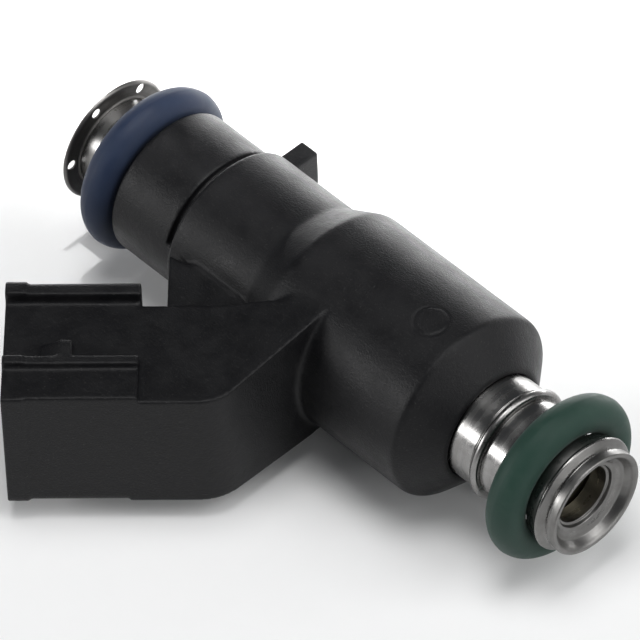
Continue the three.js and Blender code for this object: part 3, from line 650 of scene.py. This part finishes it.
def latch_nib():
    front = MOUTH - LATCH["setback"]
    back = front - LATCH["length"]
    floor_height = SHROUD["height"] / 2 - SHROUD["channel"]
    side = SHROUD["width"] / 2 - SHROUD["near_rail"] + LATCH["side_root"]
    ramp = softened([
        (back, floor_height - LATCH["root"]), (front, floor_height - LATCH["root"]),
        (front, floor_height + LATCH["toe"]), (front - LATCH["ramp"], floor_height + LATCH["height"]),
        (back, floor_height + LATCH["height"]),
    ], LATCH["edge"])
    return prism("latch", ramp, -side, -side + LATCH["width"], UPRIGHT)


def connector_cavity():
    half, top, wall = SHROUD["width"] / 2, SHROUD["height"] / 2, SHROUD["wall"]
    low = (-half + wall, -top + wall)
    high = (half - wall, top - SHROUD["channel"] - wall)
    return prism("cavity", rounded_rectangle(low, high, SHROUD["corner"]),
                 MOUTH - SHROUD["cavity"], MOUTH + PAST, SECTION)


def inner_space():
    """The room inside the moulding for the coil and the tubes, a little more than they take."""
    grip, taper = VALVE_TUBE["upper"] + BODY_GRIP, 0.5
    can, washer, sleeve = Extent("coil_can"), Extent("upper_flux_washer"), Extent("nonmagnetic_sleeve")
    taper_start = sleeve.end + GAP + 2
    return turned("insert", [
        (BARREL["end"] - PAST, 0.0), (BARREL["end"] - PAST, grip),
        (can.start - GAP, grip), (can.start - GAP, can.radius + GAP),
        (washer.end + GAP, can.radius + GAP), (washer.end + GAP, sleeve.radius + GAP),
        (taper_start, sleeve.radius + GAP), (taper_start + taper, TUBE.radius + GAP),
        (BARREL["top"] + PAST, TUBE.radius + GAP), (BARREL["top"] + PAST, 0.0),
    ], INNER_SEGMENTS)


def terminal_slots():
    """Where the terminals cross the moulding, a box round each run of the strip."""
    slots = []
    for node in ("near_terminal", "far_terminal"):
        shell = frame["nodes"][node].copy()
        shell.data = shell.data.copy()
        shell.parent = None
        shell.data.transform(Matrix.Scale(1 / MM, 4))
        bpy.context.scene.collection.objects.link(shell)
        shell.name = "slot_" + node
        swell = shell.modifiers.new("swell", "DISPLACE")
        swell.strength = GAP
        swell.mid_level = 0
        apply_modifiers(shell)
        slots.append(shell)
    return slots


def junction_weight(points):
    """One where the neck runs into the barrel, so that the moulded fillet there is broader."""
    radial = np.hypot(points[:, 1], points[:, 2])
    station = -points[:, 0]
    wall = np.interp(station, (BARREL["shoulder_start"], BARREL["shoulder_end"]),
                     (BARREL["radius"], BARREL["middle_radius"]))
    nearness = np.exp(-(((radial - wall) / JUNCTION["width"]) ** 2))
    on_neck_side = points[:, 1] < JUNCTION["side"]
    past_face = station > NECK["face"] - JUNCTION["before"]
    in_reach = past_face & (station < BARREL["slot_start"] - JUNCTION["after"])
    return np.where(on_neck_side & in_reach, nearness, 0.0)


def moulding_marks(points):
    """Heights, in millimetres, of the round ejector mark and the seam on the skin."""
    distance = np.hypot(points[:, 0] + MARKS["ejector_station"], points[:, 1] - MARKS["ejector_y"])
    groove = np.exp(-(((distance - MARKS["ejector_radius"]) / MARKS["line_width"]) ** 2))
    height = np.where(points[:, 2] > 0, -MARKS["ejector_depth"] * groove, 0)
    seam = np.exp(-((points[:, 2] / MARKS["line_width"]) ** 2))
    clear_of_lug = points[:, 0] > -LUG["start"] + 0.5
    on_barrel = (points[:, 1] > BARREL["slot_floor"]) & clear_of_lug
    height += MARKS["seam_height"] * seam * on_barrel
    return height


def moulded_body():
    body = add(barrel(), lug(), neck(), shroud(), latch_nib())
    body = cut(body, connector_cavity(), inner_space(), *terminal_slots())
    grid = body.modifiers.new("grid", "REMESH")
    grid.mode = "VOXEL"
    grid.voxel_size = VOXEL
    apply_modifiers(body)
    relaxed(body, SMOOTH_ROUNDS)
    relaxed(body, JUNCTION_ROUNDS, junction_weight)
    points = coordinates(body)
    normals = np.empty(len(points) * 3)
    body.data.vertices.foreach_get("normal", normals)
    radial = np.hypot(points[:, 1], points[:, 2])
    skin = (radial > MARKS["outside"])[:, None]
    set_coordinates(body, points + skin * moulding_marks(points)[:, None] * normals.reshape(-1, 3))
    return finished(body, BODY, "overmoulded_body", PLASTIC)


moulded_body()

# ---------------------------------------------------------------- turned and moulded outer pieces


def o_ring(node, material):
    """A round section with a faint parting ridge at its inner and outer middle."""
    ridge_height, ridge_width, points = 0.018, 0.05, 72
    ring = Extent(node)
    section = (ring.end - ring.start) / 2
    middle = (ring.end + ring.start) / 2
    outline = []
    for a in np.linspace(0, 2 * math.pi, points, endpoint=False):
        ridge = ridge_height * math.exp(-((math.cos(a) / ridge_width) ** 2))
        r = section - ridge_height + ridge
        outline.append((middle + r * math.cos(a), ring.radius - section + r * math.sin(a)))
    finished(turned(node + "_fine", outline, RING_SEGMENTS), BODY, node, material)


def tip_retainer():
    """The rim, groove and bevel outside, the skirt and spigot behind, and the stepped mouth inside."""
    t = TIP_RING
    rim, crest, back = t["rim"], TIP.radius, t["back"]
    outside = [
        (t["mouth_depth"], rim - t["mouth_width"]), (TIP.start, rim - t["rim_width"]),
        (TIP.start, rim - t["rim_round"]), (t["rim_round_end"], rim), (t["band_end"], rim),
        (t["groove_start"], t["groove"]), (t["groove_end"], t["groove"]),
        (t["bevel_end"], crest - t["bevel_drop"]), (t["crest_start"], crest),
        (t["crest_end"], crest - t["crest_drop"]), (t["back_start"], back), (t["skirt_end"], back),
    ]
    inside = [
        (t["skirt_end"], t["skirt_bore"]), (t["web_end"], t["skirt_bore"]), (t["web_end"], t["spigot"]),
        (TIP.end, t["spigot"]), (TIP.end, t["bore"]), (t["bore_start"], t["bore"]),
        (t["step_start"], t["step"]), (t["land_start"], t["land"]),
        (t["ledge_start"], t["ledge"]), (t["cone_end"], t["cone"]),
    ]
    outline = softened(outside + inside, METAL_EDGE, METAL_EDGE_STEPS)
    piece = turned("tip_retainer_fine", outline, STEEL_SEGMENTS)
    finished(piece, BODY, "tip_retainer", TIP_STEEL)


def valve_body_tube():
    v = VALVE_TUBE
    bore, lower, upper, start, end = v["bore"], v["lower"], v["upper"], v["bead_start"], v["bead_end"]
    middle, half, root = (start + end) / 2, (end - start) / 2, upper - v["bead_root"]
    crown = [
        (middle - half * math.cos(a), root + (VALVE_BODY.radius - root) * math.sin(a))
        for a in np.linspace(v["bead_angle"], math.pi - v["bead_angle"], ARC_POINTS)]
    outline = [
        (VALVE_BODY.start, bore), (VALVE_BODY.start, v["neck"]), (v["neck_end"], v["neck"]),
        (v["shoulder_end"], lower), (start - v["undercut_lead"], lower),
        (start - v["undercut_floor"], lower - v["undercut"]), (start, lower - v["undercut"]), *crown,
        (end, upper - v["relief"]), (end + v["relief_floor"], upper - v["relief"]),
        (end + v["relief_lead"], upper), (VALVE_BODY.end, upper), (VALVE_BODY.end, bore),
    ]
    piece = turned("valve_body_fine", softened(outline, METAL_EDGE, METAL_EDGE_STEPS), STEEL_SEGMENTS)
    finished(piece, BODY, "valve_body_tube", STEEL)


def inlet_tube():
    bore, chamfer, edge = INLET["bore"], INLET["chamfer"], 0.06
    outline = [
        (TUBE.start, bore), (TUBE.start, TUBE.radius), (TUBE.end - chamfer, TUBE.radius),
        (TUBE.end, TUBE.radius - chamfer), (TUBE.end, bore + chamfer), (TUBE.end - chamfer, bore),
    ]
    piece = turned("inlet_tube_fine", softened(outline, edge, METAL_EDGE_STEPS), INLET_SEGMENTS)
    finished(piece, BODY, "inlet_tube", STEEL)


def countersink(angle, circle_radius, hole_radius, face):
    """A shallow cone that breaks the front edge of one flange hole."""
    depth, lead, steps = 0.05, 0.02, 32
    centre = (circle_radius * math.cos(angle), circle_radius * math.sin(angle))
    verts = []
    for station, size in ((face - lead, hole_radius + depth), (face + depth, hole_radius)):
        verts += [(-station, y, z) for y, z in circle(centre, size, steps)]
    faces = [tuple(range(steps)), tuple(range(steps, 2 * steps))]
    faces += [(i, (i + 1) % steps, (i + 1) % steps + steps, i + steps) for i in range(steps)]
    return mesh_object("countersink", verts, faces)


def inlet_flange():
    """A thin pressed disc with a rounded edge, swept out of the tube and pierced by a circle of holes."""
    f = FLANGE_RING
    bore, rim, inner_rim = TUBE.radius + f["clearance"], FLANGE.radius, FLANGE.radius - f["rim_width"]
    edge, sweep = f["edge"], f["sweep"]
    front, rear = FLANGE.end - edge, FLANGE.end - edge + f["thickness"]
    root, crest = front - sweep, bore + f["collar"] + sweep
    quarter = np.linspace(0, 0.5 * math.pi, ARC_POINTS)
    outline = [
        (root, bore),
        *[(root + sweep * math.sin(a), crest - sweep * math.cos(a)) for a in quarter],
        *[(FLANGE.end - edge * math.cos(a), rim - edge + edge * math.sin(a)) for a in quarter],
        (FLANGE.end, inner_rim), (rear, inner_rim), (rear, bore),
    ]
    ring = turned("inlet_flange_fine", outline, INLET_SEGMENTS)
    low, high = -FLANGE.end - PAST, -FLANGE.start + PAST
    for i in range(f["holes"]):
        angle = math.radians(f["first_hole_degrees"]) + 2 * math.pi * i / f["holes"]
        centre = (f["hole_circle"] * math.cos(angle), f["hole_circle"] * math.sin(angle))
        cut(ring, prism("hole", circle(centre, f["hole"]), low, high, ALONG_X),
            countersink(angle, f["hole_circle"], f["hole"], front))
    finished(ring, BODY, "inlet_flange_ring", FLANGE_STEEL, angle=40)


def spray_plate():
    """The orifice disc: a shallow dimple with four small holes."""
    p = ORIFICES
    floor_station = PLATE.start + p["depth"] * p["crown"]
    outline = [
        (floor_station, 0.0), (floor_station, p["dimple"] * p["flat"]), (PLATE.start, p["dimple"]),
        (PLATE.start, PLATE.radius), (PLATE.end, PLATE.radius), (PLATE.end, 0.0)]
    plate = turned("spray_plate_fine", outline, INNER_SEGMENTS)
    low, high, sides = -PLATE.end - PAST, -PLATE.start + PAST, 16
    for i in range(p["count"]):
        angle = math.pi / p["count"] + 2 * math.pi / p["count"] * i
        centre = (p["circle"] * math.cos(angle), p["circle"] * math.sin(angle))
        cut(plate, prism("orifice", circle(centre, p["radius"], sides), low, high, ALONG_X))
    finished(plate, BODY, "spray_plate", BORE_STEEL, angle=30)


def filter_rim():
    rim, bore, edge = FILTER_RIM, FILTER_RING["bore"], 0.1
    front, back = FILTER_RING["front_chamfer"], FILTER_RING["back_chamfer"]
    outline = [
        (rim.start, bore), (rim.start, rim.radius - front), (rim.start + front, rim.radius),
        (rim.end - back, rim.radius), (rim.end, rim.radius - FILTER_RING["back_drop"]),
        (rim.end, bore + back), (rim.end - back, bore),
    ]
    piece = turned("filter_rim_fine", softened(outline, edge), FILTER_SEGMENTS)
    finished(piece, BODY, "filter_rim", BROWN_NYLON)


o_ring("upper_o_ring", BLUE)
o_ring("lower_o_ring", GREEN)
tip_retainer()
valve_body_tube()
inlet_tube()
inlet_flange()
spray_plate()
filter_rim()

# ---------------------------------------------------------------- CAD nodes that stay

KEPT = {
    "near_terminal": TINNED, "far_terminal": TINNED, "coil_can": INNER_STEEL,
    "upper_flux_washer": INNER_STEEL, "coil_bobbin": BROWN_NYLON, "coil_winding": COPPER,
    "nonmagnetic_sleeve": STEEL, "pole_piece": INNER_STEEL, "spring_adjuster": STEEL,
    "return_spring": STEEL, "armature": INNER_STEEL, "needle_tube": STEEL, "valve_ball": STEEL,
    "valve_seat": BORE_STEEL, "ball_guide": STEEL, "filter_basket": SCREEN,
}
TERMINAL_EDGE = 0.08

for name, finish in KEPT.items():
    skin = frame["nodes"][name].data
    skin.materials.clear()
    skin.materials.append(finish)
for name in ("near_terminal", "far_terminal"):
    edge = frame["nodes"][name].modifiers.new("edge", "BEVEL")
    edge.width = TERMINAL_EDGE * MM
    edge.segments = 2
    edge.limit_method = "ANGLE"

# ---------------------------------------------------------------- studio


def floor():
    low = min(corner.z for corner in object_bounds())
    half, drop = 3.0, 0.0001
    work = bmesh.new()
    bmesh.ops.create_grid(work, x_segments=2, y_segments=2, size=half)
    mesh = bpy.data.meshes.new("studio_floor")
    work.to_mesh(mesh)
    work.free()
    sheet = bpy.data.objects.new("studio_floor", mesh)
    sheet.location = (0, 0, low - drop)
    mesh.materials.append(studio_floor())
    bpy.context.scene.collection.objects.link(sheet)
    sheet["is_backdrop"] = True


def softbox(name, direction, distance, size, power):
    """An area light that faces the injector from that direction."""
    aim = (CAD_BOX[0] + CAD_BOX[1]) / 2
    toward = Vector(direction).normalized()
    light = bpy.data.lights.new(name, "AREA")
    light.shape = "RECTANGLE"
    light.size, light.size_y = size
    light.energy = power
    lamp = bpy.data.objects.new(name, light)
    lamp.location = aim + toward * distance
    lamp.rotation_euler = toward.to_track_quat("Z", "Y").to_euler()
    bpy.context.scene.collection.objects.link(lamp)


def floor_wash(name, offset, radius, softness, power):
    """A soft spot from above that brightens a round patch of the floor."""
    light = bpy.data.lights.new(name, "SPOT")
    light.energy = power
    light.spot_size = 2 * math.atan2(radius, offset[2])
    light.spot_blend = 1.0
    light.shadow_soft_size = softness
    lamp = bpy.data.objects.new(name, light)
    lamp.location = (CAD_BOX[0] + CAD_BOX[1]) / 2 + Vector(offset)
    bpy.context.scene.collection.objects.link(lamp)


def camera():
    """A long lens far off, turned so that the injector runs from the upper left to the lower right."""
    distance = 0.7029
    right = Vector((0.6902, 0.7232, -0.0253))
    up = Vector((-0.5253, 0.5248, 0.6698))
    back = right.cross(up).normalized()
    up = back.cross(right).normalized()
    right = up.cross(back)
    data = bpy.data.cameras.new("camera")
    data.lens = 506.25
    data.sensor_width = 36
    data.clip_start = 0.05
    data.clip_end = 20
    eye = bpy.data.objects.new("camera", data)
    aim = Vector((-0.02872, -0.00186, 0.00006))
    turn = Matrix((right, up, back)).transposed().to_4x4()
    eye.matrix_world = Matrix.Translation(aim + back * distance) @ turn
    bpy.context.scene.collection.objects.link(eye)
    bpy.context.scene.camera = eye


def world():
    made = bpy.data.worlds.new("studio")
    made.use_nodes = True
    background = made.node_tree.nodes["Background"]
    background.inputs["Color"].default_value = (0.9, 0.95, 1.0, 1)
    background.inputs["Strength"].default_value = 0.08
    bpy.context.scene.world = made


floor()
camera()
world()
# The area lights: direction from the injector, distance, width and height, and power.
softbox("rim", (-0.48, 0.87, 0.035), 0.7, (1.3, 0.05), 3.2)
softbox("right", (0.85, 0.5, 0.42), 0.9, (0.7, 0.4), 2.1)
softbox("low_right", (0.94, -0.14, 0.31), 0.9, (0.3, 0.2), 1.0)
softbox("left", (-0.55, -0.8, 0.3), 0.9, (0.6, 0.22), 4.4)
softbox("overhead", (0.6, 0.3, 0.8), 0.9, (0.5, 0.5), 3.0)
# The spots over the floor: offset from the injector, patch radius, softness and power.
floor_wash("wash_behind", (-0.05, 0.087, 0.7), 0.08, 0.03, 130.0)
floor_wash("wash_over", (0.0, 0.0, 0.7), 0.25, 0.2, 13.0)
bpy.context.scene.view_settings.view_transform = "Standard"
